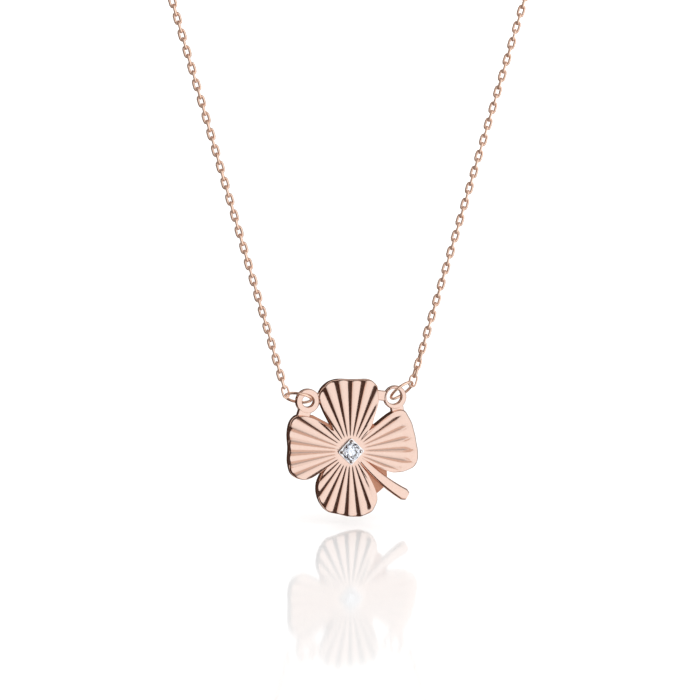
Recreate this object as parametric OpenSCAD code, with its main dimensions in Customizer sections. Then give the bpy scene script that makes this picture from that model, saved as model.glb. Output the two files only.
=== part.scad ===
// Four leaf clover pendant on a fine cable chain: a fluted cast plate with two ears, a square stone
// head at its centre, and a whole necklace that hangs from the back of a neck.
// Millimetres. +X to the wearer's left as seen from the front, +Y to the back, +Z up.
// The origin is where the clasp lies against the nape.

/* [Clover plate] */
// Reach of a petal, from the stone's axis to its rim
petal_reach = 7.6; // [6.6:0.1:9]
// Thickness of the cast plate, front to back
plate_t = 1.05; // [0.9:0.05:1.6]
// Depth of a flute at the rim, below its crests
flute_depth = 0.3; // [0.1:0.02:0.4]
// Mean turn from one flute to the next, in degrees
flute_pitch = 11.3; // [9:0.1:14]
// Radius of the smooth zone round the stone, where the flutes begin
centre_r = 1.3; // [1.2:0.05:1.8]
// Width of the smooth border beyond the flutes, on the right-hand rims
border_w = 1; // [0.5:0.1:1.6]
// Bevel along the front edge of the rim
rim_bevel = 0.13; // [0.04:0.01:0.18]

/* [Webs and stem] */
// Radius of the recessed web that joins the petals at their roots
web_r = 3.9; // [3.4:0.1:4.6]
// Radius of the wider web that joins the stem to its two petals
stem_web_r = 5.85; // [5:0.05:6.2]
// Thickness of the webs
web_t = 0.5; // [0.35:0.05:0.7]
// Step from the back of the plate in to the back of the webs and the stem
back_step = 0.07; // [0.03:0.01:0.12]
// Width of the stem at its root
stem_root_w = 0.8; // [0.6:0.02:1]
// Width of the stem at its end
stem_end_w = 1.4; // [0.8:0.05:1.6]
// Corner cut at the stem's end
stem_corner = 0.2; // [0.1:0.02:0.3]
// Step from the front of the plate back to the stem's face
stem_step = 0.03; // [0.01:0.01:0.1]

/* [Ears] */
// Outer radius of the left ear
left_ear_r = 1.34; // [1.26:0.02:1.5]
// Radius of the hole in the left ear
left_hole_r = 0.62; // [0.58:0.02:0.8]
// Outer radius of the right ear
right_ear_r = 1.29; // [1.26:0.02:1.5]
// Radius of the hole in the right ear
right_hole_r = 0.83; // [0.6:0.02:0.9]
// Thickness of the ears
ear_t = 0.6; // [0.5:0.05:0.8]
// Step from the back of the plate in to the back of the ears
ear_step = 0.03; // [0.01:0.01:0.06]
// Width of the neck that carries each ear on its petal
neck_w = 1.45; // [1.2:0.05:1.8]
// Width of the bridge that ties each ear to the top petal
bridge_w = 1.1; // [0.8:0.05:1.4]

/* [Setting and stone] */
// Side of the square head
head_side = 2.14; // [1.9:0.01:2.3]
// Height of the head above the plate
head_h = 0.42; // [0.34:0.02:0.6]
// Radius of the hole under the stone, through the head and the plate
azure_r = 0.62; // [0.5:0.02:0.66]
// Radius of a corner prong
prong_r = 0.17; // [0.12:0.01:0.18]
// Radius of the bead that tips a prong
bead_r = 0.2; // [0.18:0.01:0.22]
// Diameter of the round brilliant
stone_d = 1.92; // [1.7:0.02:2]
// Clearance between pieces that seat on each other
seat_gap = 0.02; // [0.01:0.01:0.04]

/* [Jump rings] */
// Outer diameter of a jump ring
ring_d = 3.1; // [2.9:0.1:3.6]
// Wire of a jump ring
ring_wire = 0.3; // [0.24:0.02:0.36]
// Distance of a ring's middle in front of the middle of the ear that it runs through
ring_front = 0.08; // [0:0.01:0.12]
// Tilt of the left ring about its long axis, front half up, in degrees
left_ring_tilt = 24; // [0:1:30]
// Tilt of the right ring about its long axis, front half up, in degrees
right_ring_tilt = 35; // [0:1:40]
// Rise of the left ring's long axis towards its chain, in degrees
left_ring_rise = 17; // [5:1:25]
// Rise of the right ring's long axis towards its chain, in degrees
right_ring_rise = 30; // [20:1:40]

/* [Chain and clasp] */
// Width of the cable chain
chain_w = 0.75; // [0.6:0.05:1]
// Length of the larger link at each end of a chain
end_link_l = 1.5; // [1.4:0.05:1.8]
// Width of that link
end_link_w = 0.95; // [0.9:0.05:1.1]
// Wire of that link
link_wire = 0.2; // [0.16:0.02:0.24]
// Turn of the front end links about their strands, in degrees
end_link_turn = 15; // [0:5:35]
// Clearance between an end link and what it runs through, and the chain behind it
link_gap = 0.1; // [0.05:0.01:0.14]
// Drop from the nape to the stone
pendant_drop = 128; // [120:1:140]
// Distance from the nape forward to the pendant
pendant_front = 100; // [92:1:108]
// Distance of the stone to the right of the middle, as the uneven ears hold it
pendant_side = -0.4; // [-0.8:0.1:0.8]
// Widest distance between the two sides of the chain
loop_w = 89.2; // [84:0.4:96]
// Diameter of the plain barrel clasp
clasp_d = 1.9; // [1.6:0.1:2.4]
// Length of the barrel without its eyes
clasp_l = 6; // [5:0.5:8]
// Outer diameter of a clasp eye
eye_d = 1.6; // [1.5:0.1:1.9]
// Wire of a clasp eye
eye_wire = 0.3; // [0.24:0.02:0.32]

/* [Hidden] */

// Facets of the exact round shapes, and of the section of a wire
$fn = 64;
wire_facets = 32;
rose_gold = [0.91, 0.68, 0.58];
white_gold = [0.85, 0.86, 0.88];

// Petal outlines in polar form round the stone, counterclockwise from +X in degrees.
// Columns of a row: angle, reach as a share of petal_reach.
RIGHT_RIM = [[-31.6, 0.39], [-30.6, 0.585], [-28.6, 0.723], [-26, 0.802], [-23.1, 0.877], [-16.8, 1.005],
    [-12.9, 1.032], [-9, 1.042], [-5.2, 1.036], [-1.4, 1.022], [4.9, 1.008], [11.6, 1], [19.9, 1],
    [27.2, 0.994], [34.4, 0.972], [38.6, 0.86], [40.5, 0.7], [41.6, 0.55], [45, 0.41]];
TOP_RIM = [[45, 0.41], [47.7, 0.51], [52.2, 0.61], [55.2, 0.715], [57.4, 0.809], [60.7, 0.89], [64.4, 0.98],
    [68, 1.027], [72.1, 1.049], [81.6, 1.021], [89, 1.015], [100.3, 1.042], [108, 1.033], [116, 0.973],
    [119.8, 0.9], [121.8, 0.79], [123.4, 0.66], [125.4, 0.5], [128.6, 0.4]];
LEFT_RIM = [[128.6, 0.4], [131.2, 0.45], [132.4, 0.53], [134.7, 0.625], [136.7, 0.71], [139.2, 0.8],
    [144, 0.925], [147, 0.962], [153, 0.979], [161, 0.956], [175, 0.899], [189.8, 0.912], [200.6, 0.896],
    [209.8, 0.775], [212.3, 0.66], [213.5, 0.42]];
BOTTOM_RIM = [[213.5, 0.42], [219.2, 0.563], [224.7, 0.673], [233.9, 0.793], [243.4, 0.883], [250.3, 0.924],
    [257.9, 0.922], [277.4, 0.972], [286.5, 0.97], [292.6, 0.935], [301.7, 0.78], [308, 0.42]];
STEM_GAP = [[308, 0.42], [309.5, 0.27], [327, 0.27], [328.4, 0.39]];
// Columns of a row: outline, angle of one crest on that petal, turn between flutes as a share of flute_pitch.
PETALS = [[RIGHT_RIM, 9.6, 0.96], [TOP_RIM, 88.3, 1.008], [LEFT_RIM, 178.4, 0.992], [BOTTOM_RIM, 268.2, 1.013],
    [STEM_GAP, 320, 1]];
// Steps across one flute, and shares of the way out from the smooth centre to the rim's bevel
flute_steps = 6;
// A strip that would be narrower than this share of a step is left out
strip_least = 0.4;
OUT = [0, 0.06, 0.2, 0.42, 0.66, 0.84, 1];
// The rims with a smooth border face this way, in degrees, and up to this far to either side
border_turn = -2;
border_spread = 76;
border_soft = 0.35;
// Share of the border, from the rim inwards, that stays quite smooth
border_flat = 0.2;
// Length over which the flutes deepen as they leave the smooth centre
flute_run_in = 0.6;

// Places on the plate, as shares of petal_reach
left_ear_at = petal_reach * [-0.606, 0.7355];
right_ear_at = petal_reach * [0.695, 0.727];
right_hole_at = petal_reach * [0.676, 0.741];
left_neck_foot = petal_reach * [-0.684, 0.493];
right_neck_foot = petal_reach * [0.75, 0.454];
left_bridge_foot = petal_reach * [-0.38, 0.785];
right_bridge_foot = petal_reach * [0.355, 0.785];
stem_root = petal_reach * [0.15, -0.11];
stem_bend = petal_reach * [0.491, -0.4875];
stem_tip = petal_reach * [0.866, -0.704];
stem_parts = 10;
// Edges of the stem's web: angle, share of stem_web_r
STEM_WEB = [[-60, 1], [-46, 1], [-38.4, 0.945], [-34.6, 0.91], [-31, 0.865], [-26, 0.85]];
// Edges of the ledge along the upper side of the left petal: angle, share of petal_reach
LEFT_LEDGE = [[125.5, 0.46], [128, 0.53], [131.2, 0.605], [134.6, 0.735], [138.4, 0.82], [143, 0.85]];

front = -plate_t / 2;
back = plate_t / 2;
ear_front = back - ear_step - ear_t;
ring_y = ear_front + ear_t / 2 - ring_front;
// How far a cut runs on beyond the faces that it goes through
beyond = 1;

// Stone, as shares of its diameter
table_share = 0.56;
crown_share = 0.155;
girdle_share = 0.035;
pavilion_share = 0.43;
star_share = 0.78;
lower_share = 0.4;
girdle_y = front - head_h;

// Where each ring's wire runs through its hole, inwards of the hole's middle
ring_r = (ring_d - ring_wire) / 2;
left_grip_in = [0.3, 0];
right_grip_in = [-0.3, -0.09];
left_grip = left_ear_at + left_grip_in;
right_grip = right_hole_at + right_grip_in;
left_out = [-cos(left_ring_rise), sin(left_ring_rise)];
right_out = [cos(right_ring_rise), sin(right_ring_rise)];

pendant_at = [pendant_side, -pendant_front, -pendant_drop];
// The right half of the chain's route above its straight front strand, in chosen points: across as a share
// of half the loop's width, then back and up as measured from the nape. The left half mirrors it.
CHAIN_ROUTE = [[0.478, -100, -74], [0.605, -99.2, -56.5], [0.731, -95, -40.5], [0.852, -86, -27],
    [0.946, -72, -16.5], [1, -55, -9.5], [0.991, -37, -5], [0.886, -21, -2.5], [0.684, -8.6, -1.2],
    [0.415, -1.2, -0.4]];
route_steps = 3;
tube_sides = 8;
// Smoothest lie of the front strand, in the plane of the pendant
strand_slope = 0.299;
strand_up = [strand_slope, 0, 1] / norm([strand_slope, 0, 1]);

// The clasp's eyes, and the end links that run through them
eye_r = (eye_d - eye_wire) / 2;
eye_sink = 0.2;
eye_x = clasp_l / 2 + eye_r - eye_sink;
link_r = (end_link_w - link_wire) / 2;
link_half = (end_link_l - link_wire) / 2;
clasp_y = clasp_d / 2;

function unit(v) = v / norm(v);
function clamp(v) = min(1, max(0, v));
function soft(v) = let(c = clamp(v)) c * c * (3 - 2 * c);

// Smooth curve through rows of [angle, reach]
function row_of(rows, a, i = 0) = (i >= len(rows) - 2 || a < rows[i + 1][0]) ? i : row_of(rows, a, i + 1);
function tilt_at(rows, i) = let(lo = max(i - 1, 0), hi = min(i + 1, len(rows) - 1))
    (rows[hi][1] - rows[lo][1]) / (rows[hi][0] - rows[lo][0]);
function reach_at(rows, a) = let(
    i = row_of(rows, a), p = rows[i], q = rows[i + 1], w = q[0] - p[0], s = (a - p[0]) / w,
    rise = s * s * (3 - 2 * s))
    p[1] + (q[1] - p[1]) * rise + w * s * (1 - s) * ((1 - s) * tilt_at(rows, i) - s * tilt_at(rows, i + 1));

// Angles at which one petal is cut into radial strips, with its crests among them
function strips(petal) = let(
    rows = petal[0], crest = petal[1], lo = rows[0][0], hi = rows[len(rows) - 1][0],
    step = flute_pitch * petal[2] / flute_steps)
    concat([lo], [for (k = [ceil((lo - crest) / step + strip_least) : floor((hi - crest) / step - strip_least)])
        crest + k * step]);

// Depth of the fluting below the crests: a scoop across each flute, shallow near the centre and
// faded out before the rims that have a smooth border
function scoop(a, petal) = let(
    t = (a - petal[1]) / (flute_pitch * petal[2]), w = 2 * (t - floor(t)) - 1) 1 - w * w;
function border_at(a) = border_w * clamp((cos(a - border_turn) - cos(border_spread)) / border_soft);
function flute_at(a, petal, r, rim) = let(b = border_at(a))
    flute_depth * scoop(a, petal) * soft((r - centre_r) / flute_run_in) * r / petal_reach
    * (b > 0 ? soft((rim - r) / b - border_flat) : 1);

// The fluted plate: radial strips, a flat centre, a bevelled rim and a flat back
module plate() {
    cuts = [for (p = PETALS) for (a = strips(p)) [a, petal_reach * reach_at(p[0], a), p]];
    n = len(cuts);
    fluted = [for (s = OUT) for (c = cuts) let(
        inner = c[1] - rim_bevel, r = centre_r + (inner - centre_r) * s)
        [r * cos(c[0]), front + flute_at(c[0], c[2], r, inner), r * sin(c[0])]];
    rim = [for (c = cuts) [c[1] * cos(c[0]),
        front + rim_bevel + flute_at(c[0], c[2], c[1] - rim_bevel, c[1] - rim_bevel), c[1] * sin(c[0])]];
    rear = [for (c = cuts) [c[1] * cos(c[0]), back, c[1] * sin(c[0])]];
    rounds = len(OUT) + 1;
    walls = [for (j = [0 : rounds - 1]) for (i = [0 : n - 1]) let(
        k = (i + 1) % n, a = j * n + i, b = j * n + k, c = (j + 1) * n + k, d = (j + 1) * n + i)
        each [[c, b, a], [d, c, a]]];
    polyhedron(concat(fluted, rim, rear),
        concat([[for (i = [n - 1 : -1 : 0]) i]], walls, [[for (i = [0 : n - 1]) rounds * n + i]]));
}

// A flat piece in the plane of the pendant, from y1 back to y2
module slab(y1, y2) translate([0, y2, 0]) rotate([90, 0, 0]) linear_extrude(y2 - y1) children();

// A round bar along the viewing direction
module pin_through(at, r, y1, y2) translate([at[0], y2, at[1]]) rotate([90, 0, 0]) cylinder(r = r, h = y2 - y1);

// A flat strip of width w from p to q
module strip(p, q, w) {
    side = unit([p[1] - q[1], q[0] - p[0]]) * w / 2;
    polygon([p + side, q + side, q - side, p - side]);
}

// Centre line of the curved stem at share t, and its half width there
function stem_mid(t) = (1 - t) * (1 - t) * stem_root + 2 * t * (1 - t) * stem_bend + t * t * stem_tip;
function stem_side(t) = let(d = 2 * (1 - t) * (stem_bend - stem_root) + 2 * t * (stem_tip - stem_bend))
    unit([-d[1], d[0]]) * (stem_root_w + (stem_end_w - stem_root_w) * t) / 2;
module stem_outline() {
    last = 1 - stem_corner / norm(stem_tip - stem_bend);
    shares = [for (i = [0 : stem_parts]) last * i / stem_parts];
    inset = 1 - 2 * stem_corner / stem_end_w;
    polygon(concat([for (t = shares) stem_mid(t) + stem_side(t)],
        [stem_mid(1) + inset * stem_side(1), stem_mid(1) - inset * stem_side(1)],
        [for (i = [stem_parts : -1 : 0]) stem_mid(shares[i]) - stem_side(shares[i])]));
}

// A flat sector from the centre out to rows of angle and share of a reach
module fan(rows, reach) polygon(concat([[0, 0]], [for (w = rows) reach * w[1] * [cos(w[0]), sin(w[0])]]));

module webs() {
    rear = back - back_step;
    pin_through([0, 0], web_r, rear - web_t, rear);
    slab(rear - web_t, rear) fan(STEM_WEB, stem_web_r);
    slab(rear - web_t, rear) fan(LEFT_LEDGE, petal_reach);
}

// One ear with its neck and the bridge that ties it to the top petal
module ear(at, r, neck_foot, bridge_foot) {
    pin_through(at, r, ear_front, ear_front + ear_t);
    slab(ear_front, ear_front + ear_t) strip(at, neck_foot, neck_w);
    slab(ear_front + ear_step, ear_front + ear_t) strip(at, bridge_foot, bridge_w);
}

module clover() color(rose_gold) translate(pendant_at) difference() {
    union() {
        plate();
        webs();
        slab(front + stem_step, back - back_step) stem_outline();
        ear(left_ear_at, left_ear_r, left_neck_foot, left_bridge_foot);
        ear(right_ear_at, right_ear_r, right_neck_foot, right_bridge_foot);
    }
    pin_through(left_ear_at, left_hole_r, front - beyond, back + beyond);
    pin_through(right_hole_at, right_hole_r, front - beyond, back + beyond);
    pin_through([0, 0], azure_r, front - beyond, back + beyond);
}

// The square head, corner up, with a cone for the stone's pavilion and a beaded prong at each corner
module setting() color(white_gold) translate(pendant_at) {
    prong_at = stone_d / 2 + prong_r;
    foot = front - seat_gap;
    crown_y = girdle_y - bead_r / 2;
    seat_r = stone_d / 2 + 2 * seat_gap;
    difference() {
        union() {
            slab(girdle_y, foot) rotate(45) square(head_side, center = true);
            for (turn = [0 : 90 : 270]) rotate([0, turn, 0]) {
                pin_through([prong_at, 0], prong_r, crown_y, foot);
                translate([prong_at, crown_y, 0]) sphere(r = bead_r);
            }
        }
        pin_through([0, 0], azure_r, girdle_y - beyond, foot + beyond);
        translate([0, girdle_y, 0]) rotate([-90, 0, 0])
            cylinder(r1 = seat_r, r2 = azure_r - seat_gap, h = seat_r - azure_r);
        pin_through([0, 0], stone_d / 2 + seat_gap, girdle_y - beyond, girdle_y);
    }
}

// Points of the brilliant, table up: rings of n points at radius r and height z, turned by a
function crown_ring(n, r, z, a) = [for (i = [0 : n - 1]) [r * cos(a + i * 360 / n), r * sin(a + i * 360 / n), z]];
module brilliant() {
    r = stone_d / 2;
    half_step = 360 / 16;
    table_r = r * table_share;
    crown_z = stone_d * crown_share;
    rim_z = -stone_d * girdle_share;
    culet_z = rim_z - stone_d * pavilion_share;
    star_r = r * star_share;
    star_z = crown_z * (r - star_r * cos(half_step)) / (r - table_r);
    lower_r = r * lower_share;
    lower_z = culet_z + (rim_z - culet_z) * lower_r * cos(half_step) / r;
    points = concat(crown_ring(8, table_r, crown_z, 0), crown_ring(8, star_r, star_z, half_step),
        crown_ring(16, r, 0, 0), crown_ring(16, r, rim_z, 0), crown_ring(8, lower_r, lower_z, half_step),
        [[0, 0, culet_z]]);
    // First point of each ring: table, star tips, upper girdle, lower girdle, pavilion tips, culet
    star = 8;
    upper = 16;
    lower = 32;
    pavilion = 48;
    culet = 56;
    crown = [for (i = [0 : 7]) let(k = (i + 1) % 8, g = upper + 2 * i, h = upper + (2 * i + 2) % 16) each [
        [i, star + i, k],
        [i, g, star + i],
        [star + i, h, k],
        [star + i, g, g + 1],
        [star + i, g + 1, h]]];
    girdle = [for (i = [0 : 15]) let(k = (i + 1) % 16) each [
        [upper + i, lower + i, lower + k],
        [upper + i, lower + k, upper + k]]];
    base = [for (i = [0 : 7]) let(k = (i + 1) % 8, g = lower + 2 * i, h = lower + (2 * i + 2) % 16) each [
        [pavilion + i, g + 1, g],
        [pavilion + i, h, g + 1],
        [culet, pavilion + i, g],
        [culet, h, pavilion + i]]];
    facets = concat([[for (i = [0 : 7]) i]], crown, girdle, base);
    polyhedron(points, [for (f = facets) [for (i = [len(f) - 1 : -1 : 0]) f[i]]]);
}
module diamond() color("white") translate(pendant_at)
    translate([0, girdle_y - seat_gap - stone_d * girdle_share, 0]) rotate([90, 0, 0]) brilliant();

module torus(r, wire) rotate_extrude() translate([r, 0]) circle(d = wire, $fn = wire_facets);

// A jump ring that grips a hole at one point and reaches out along a direction in the plane of the pendant
module jump_ring(grip, out, tilt) {
    middle = grip + ring_r * out;
    rise = atan2(out[1], out[0]);
    translate([middle[0], ring_y, middle[1]]) rotate([-tilt * sign(out[0]), -rise, 0]) torus(ring_r, ring_wire);
}
module jump_ring_left() color(rose_gold) translate(pendant_at) jump_ring(left_grip, left_out, left_ring_tilt);
module jump_ring_right() color(rose_gold) translate(pendant_at)
    jump_ring(right_grip, right_out, right_ring_tilt);

// A round-ended wire link along Z, open along Y
module end_link() {
    straight = link_half - link_r;
    for (end = [-1, 1]) {
        translate([0, 0, end * straight]) intersection() {
            rotate([90, 0, 0]) torus(link_r, link_wire);
            translate([0, 0, end * end_link_w]) cube(2 * end_link_w, center = true);
        }
        translate([end * link_r, 0, -straight]) cylinder(d = link_wire, h = 2 * straight, $fn = wire_facets);
    }
}

// The far side of a jump ring, where its end link hooks on, and where the chain starts behind that link
function far_side(grip, out) = let(p = grip + 2 * ring_r * out) pendant_at + [p[0], ring_y, p[1]];
link_lift = link_half - link_wire / 2 - ring_wire / 2 - link_gap;
link_end = link_half + link_wire / 2 + link_gap;
eye_link_x = eye_x + eye_r - eye_wire / 2 - link_wire / 2 - link_gap + link_half;
plain = [1, 1, 1];
mirrored = [-1, 1, 1];
function times(v, m) = [v[0] * m[0], v[1] * m[1], v[2] * m[2]];

// Smooth curve through the route: from each point to the next, bent towards its neighbours
function bend(p, t) = 0.5 * (2 * p[1] + (p[2] - p[0]) * t + (2 * p[0] - 5 * p[1] + 4 * p[2] - p[3]) * t * t
    + (3 * p[1] - p[0] - 3 * p[2] + p[3]) * t * t * t);
function route_line(points) = let(last = len(points) - 1) concat([points[0]],
    [for (i = [1 : last - 1]) for (k = [0 : route_steps - 1])
        bend([points[i - 1], points[i], points[i + 1], points[min(i + 2, last)]], k / route_steps)],
    [points[last]]);

// A tube of the chain's width along a line of points
module tube(line) {
    last = len(line) - 1;
    rings = [for (i = [0 : last]) let(
        along = unit(line[min(i + 1, last)] - line[max(i - 1, 0)]),
        outward = unit([along[1], -along[0], 0]), up = cross(along, outward))
        for (k = [0 : tube_sides - 1]) let(turn = 360 * k / tube_sides)
            line[i] + chain_w / 2 * (cos(turn) * outward + sin(turn) * up)];
    sides = [for (i = [0 : last - 1]) for (k = [0 : tube_sides - 1]) let(
        m = (k + 1) % tube_sides, a = i * tube_sides, b = a + tube_sides)
        each [[a + k, b + k, b + m], [a + k, b + m, a + m]]];
    polyhedron(rings, concat([[for (k = [0 : tube_sides - 1]) k]], sides,
        [[for (k = [tube_sides - 1 : -1 : 0]) last * tube_sides + k]]));
}

// One side of the chain: an end link on the jump ring, a tube along the route, an end link in the clasp's eye
module front_link(grip, out, side) {
    up = times(strand_up, side);
    translate(far_side(grip, out) + up * link_lift) rotate([0, atan2(up[0], up[2]), 0])
        rotate([0, 0, -end_link_turn * side[0]]) end_link();
}
module strand(grip, out, side) {
    start = far_side(grip, out) + times(strand_up, side) * (link_lift + link_end);
    finish = times([eye_link_x + link_end, clasp_y, 0], side);
    tube(route_line(concat([start], [for (p = CHAIN_ROUTE) times(p, [loop_w / 2 * side[0], 1, 1])], [finish])));
}
module rear_link(side) translate(times([eye_link_x, clasp_y, 0], side)) rotate([90, 0, 90]) end_link();

module end_link_left() color(rose_gold) front_link(left_grip, left_out, mirrored);
module end_link_right() color(rose_gold) front_link(right_grip, right_out, plain);
module chain_left() color(rose_gold) strand(left_grip, left_out, mirrored);
module chain_right() color(rose_gold) strand(right_grip, right_out, plain);
module clasp_link_left() color(rose_gold) rear_link(mirrored);
module clasp_link_right() color(rose_gold) rear_link(plain);

// A plain closed barrel with an eye at each end
module clasp() color(rose_gold) translate([0, clasp_y, 0]) {
    rotate([0, 90, 0]) cylinder(d = clasp_d, h = clasp_l, center = true);
    for (end = [-1, 1]) translate([end * eye_x, 0, 0]) rotate([90, 0, 0]) torus(eye_r, eye_wire);
}

clover();
setting();
diamond();
jump_ring_left();
jump_ring_right();
end_link_left();
end_link_right();
chain_left();
chain_right();
clasp_link_left();
clasp_link_right();
clasp();
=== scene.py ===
# %% [markdown]
# # A four leaf clover pendant on a fine chain
# The pendant is a small casting in rose gold with four fluted petals, a stem, and a brilliant in a square
# head. Two jump rings hold it in the middle of a cable chain. The CAD model is loaded first, because every
# piece made here goes exactly where the CAD piece is, in metres and in the same frame.

# %% Load the CAD model
import math

import bmesh
import bpy
import numpy as np
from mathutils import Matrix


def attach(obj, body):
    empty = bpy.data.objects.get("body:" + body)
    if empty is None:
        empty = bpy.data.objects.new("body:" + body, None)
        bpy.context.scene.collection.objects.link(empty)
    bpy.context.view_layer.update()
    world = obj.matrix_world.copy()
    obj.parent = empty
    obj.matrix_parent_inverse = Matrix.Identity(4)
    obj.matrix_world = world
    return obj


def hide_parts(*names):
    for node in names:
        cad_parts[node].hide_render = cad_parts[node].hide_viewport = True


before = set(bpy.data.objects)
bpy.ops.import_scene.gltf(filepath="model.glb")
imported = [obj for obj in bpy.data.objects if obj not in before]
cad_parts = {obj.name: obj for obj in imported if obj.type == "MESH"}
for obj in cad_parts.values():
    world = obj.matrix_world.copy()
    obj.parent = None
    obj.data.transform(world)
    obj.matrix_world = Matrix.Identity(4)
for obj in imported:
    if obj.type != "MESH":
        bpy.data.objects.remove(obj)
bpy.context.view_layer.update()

# %% [markdown]
# ## Meshes from arrays
# A piece could be drawn with modelling operators, one edit after another. Here each shape is a formula on a
# grid of two parameters instead, so numpy works out all its points at once and a size can be changed in one
# place. Distances are in millimetres until a mesh is made.

# %% Grids and shells
def unit(v):
    """The vector or vectors v, divided by their lengths."""
    v = np.asarray(v, float)
    return v / np.linalg.norm(v, axis=-1, keepdims=True)


def soft_step(v):
    """Rises smoothly from 0 to 1 as v does: 3v² - 2v³, with v held between 0 and 1."""
    v = np.clip(v, 0, 1)
    return v * v * (3 - 2 * v)


def shell(grid, loop=True):
    """Points and quads of a grid of shape (rows, columns, 3). Columns close in a ring, and rows too if loop
    is true. Faces are turned to face outwards: the signed volume of a closed shape, the sum over its
    triangles of a · (b × c) / 6, is positive when they do."""
    rows, cols = grid.shape[:2]
    i = np.arange(rows if loop else rows - 1)[:, None]
    j = np.arange(cols)[None, :]
    below, right = (i + 1) % rows, (j + 1) % cols
    quads = np.stack([i * cols + j, i * cols + right, below * cols + right, below * cols + j], -1)
    quads = quads.reshape(-1, 4)
    points = grid.reshape(-1, 3)
    a, b, c, d = (points[quads[:, k]] for k in range(4))
    volume = (np.einsum("ij,ij->i", a, np.cross(b, c)) + np.einsum("ij,ij->i", a, np.cross(c, d))).sum() / 6
    return points, quads if volume > 0 else quads[:, ::-1]


def together(*shells):
    """Several shells as one list of points and one of quads, each quad's numbers moved up by the points
    that come before it."""
    starts = np.cumsum([0] + [len(points) for points, quads in shells[:-1]])
    return (np.concatenate([points for points, quads in shells]),
            np.concatenate([quads + start for (points, quads), start in zip(shells, starts)]))


def in_plane(x, y, z):
    """Points from their coordinates, spread to one shape: x across, y to the back, z up."""
    return np.stack(np.broadcast_arrays(x, y, z), -1)


def spun(r, y, angle):
    """Points of the pendant's plane in polar form: distance r from the stone's middle at that angle."""
    return in_plane(r * np.cos(np.radians(angle)), y, r * np.sin(np.radians(angle)))


print("Grid helpers ready")

# %% [markdown]
# ## From points to a piece
# A mesh needs metres, an outside, and a choice of which edges look sharp. A Bevel modifier could round the
# edges of a block, but here the roundings are rows of the grid already, so only the shading is left to
# set. A piece also says which body it rides on and which CAD piece it stands for.

# %% Meshes, merged poles and pieces
MM = 0.001
POLE_MM = 1e-4


def merge_points(mesh):
    """Merges points that lie closer than POLE_MM, so that poles are closed."""
    work = bmesh.new()
    work.from_mesh(mesh)
    bmesh.ops.remove_doubles(work, verts=work.verts, dist=POLE_MM * MM)
    work.to_mesh(mesh)
    work.free()


def piece(name, shape, body, finish, node=None, sharp=32, other_finish=None, other_quads=slice(0)):
    """One mesh object at the origin from points and quads. Points that coincide, as at a pole, are merged.
    Edges that bend by more than sharp degrees stay sharp. It rides on body and stands for node. Some of its
    quads can have another finish of the same metal."""
    points, quads = shape
    mesh = bpy.data.meshes.new(name)
    mesh.from_pydata((points * MM).tolist(), [], quads.tolist())
    mesh.materials.append(finish)
    if other_finish:
        mesh.materials.append(other_finish)
        chosen = np.zeros(len(quads), np.int32)
        chosen[other_quads] = 1
        mesh.polygons.foreach_set("material_index", chosen)
    mesh.validate()
    merge_points(mesh)
    mesh.shade_smooth()
    mesh.set_sharp_from_angle(angle=math.radians(sharp))
    obj = bpy.data.objects.new(name, mesh)
    bpy.context.scene.collection.objects.link(obj)
    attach(obj, body)
    if node:
        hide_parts(node)
    size = np.ptp(points, axis=0)
    print(f"{name}: {len(mesh.polygons)} faces, {size[0]:.2f} x {size[1]:.2f} x {size[2]:.2f} mm")
    return obj


print("Mesh helpers ready")

# %% [markdown]
# ## Colours and shader nodes
# Colours are easiest to pick as they look on a screen, in hex. A shader works in linear light, so one
# function turns one into the other.

# %% Helpers for materials
def linear(hex_colour, alpha=1.0):
    """A screen colour such as 'F0B79A' in linear light: ((c + 0.055) / 1.055) to the power 2.4."""
    c = np.array([int(hex_colour[k:k + 2], 16) for k in (0, 2, 4)]) / 255
    c = np.where(c <= 0.04045, c / 12.92, ((c + 0.055) / 1.055) ** 2.4)
    return (*c.tolist(), alpha)


def add(tree, kind, settings=None, inputs=None):
    """A node of that kind, with its settings. An input's value is a number, a colour or another's
    output."""
    node = tree.nodes.new(kind)
    for key, value in (settings or {}).items():
        setattr(node, key, value)
    for key, value in (inputs or {}).items():
        if isinstance(value, bpy.types.NodeSocket):
            tree.links.new(value, node.inputs[key])
        else:
            node.inputs[key].default_value = value
    return node


def material(name):
    """An empty material with its shader and its coordinates in object space."""
    made = bpy.data.materials.new(name)
    made.use_nodes = True
    tree = made.node_tree
    tree.nodes.clear()
    shader = add(tree, "ShaderNodeBsdfPrincipled")
    add(tree, "ShaderNodeOutputMaterial", inputs={"Surface": shader.outputs["BSDF"]})
    place = add(tree, "ShaderNodeTexCoord").outputs["Object"]
    return made, tree, shader, place


print("Material helpers ready")

# %% [markdown]
# ## Polished rose gold
# The clover is 14 carat gold, whose copper makes it pink. It was cast, then polished with a mop, which
# leaves very fine marks, so what it mirrors is slightly soft. The colour of a metal is the colour of its
# reflections, so the hue goes into the base colour. The marks are some 0.3 mm apart and far shallower
# than a pixel can show, so the noise is drawn at that spacing and mostly varies the gloss. The mop never
# reached the recess between the petals, which keeps the rougher skin of the casting; its darker brown
# colour is painted shade of the recess. The wire of the rings and the chain was drawn, not cast: it is a
# little warmer and softer.

# %% The three finishes of rose gold
MOP_MARK_MM, MARK_DEEP_MM = 0.3, 0.02


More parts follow.
